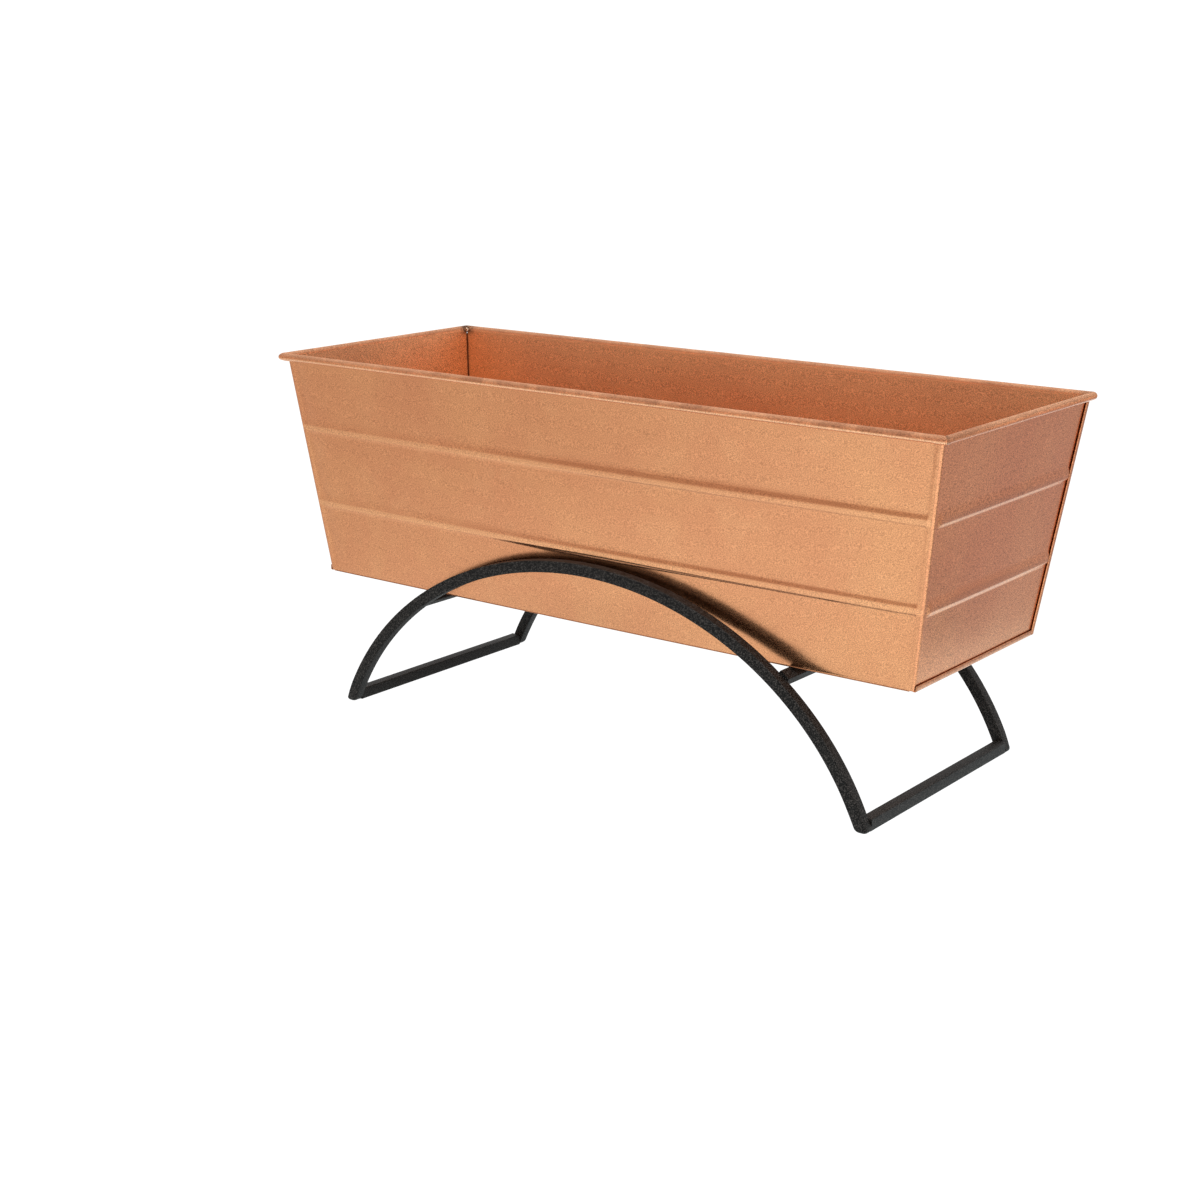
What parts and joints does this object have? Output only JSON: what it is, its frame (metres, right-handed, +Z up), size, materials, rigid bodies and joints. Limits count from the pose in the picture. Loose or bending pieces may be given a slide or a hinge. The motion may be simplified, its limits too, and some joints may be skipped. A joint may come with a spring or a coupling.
{
  "type": "planter box with stand",
  "caption": "Long tapered sheet-metal planter box with ribbed walls and a rolled rim, resting loose on an arched stand of square bar.",
  "frame": {"origin": "on the floor, under the middle of the planter box", "axes": "+X along the box to the right, +Y to the back, +Z up"},
  "size_m": [0.6348, 0.2464, 0.2982],
  "materials": {
    "copper_sheet": "copper-plated steel sheet, satin with a cloudy patina",
    "steel_wire": "bare galvanised wire, hidden in the rim",
    "solder": "dull, darkened solder",
    "black_paint": "fine-textured black powder coat on steel bar"
  },
  "bodies": {
    "stand": {"front_arch": "black_paint", "rear_arch": "black_paint", "left_foot_bar": "black_paint", "right_foot_bar": "black_paint", "left_cross_bar": "black_paint", "right_cross_bar": "black_paint", "left_cross_bar_front_weld": "black_paint", "left_cross_bar_rear_weld": "black_paint", "right_cross_bar_front_weld": "black_paint", "right_cross_bar_rear_weld": "black_paint"},
    "planter_box": {"front_and_end_panels": "copper_sheet", "back_and_bottom_panel": "copper_sheet", "rim_wire": "steel_wire", "left_rear_solder": "solder", "right_rear_solder": "solder"}
  },
  "joints": [
    {"name": "box_lift", "type": "slide", "parent": "stand", "child": "planter_box", "axis": [0, 0, 1], "range_m": [0, 0.1]}
  ]
}
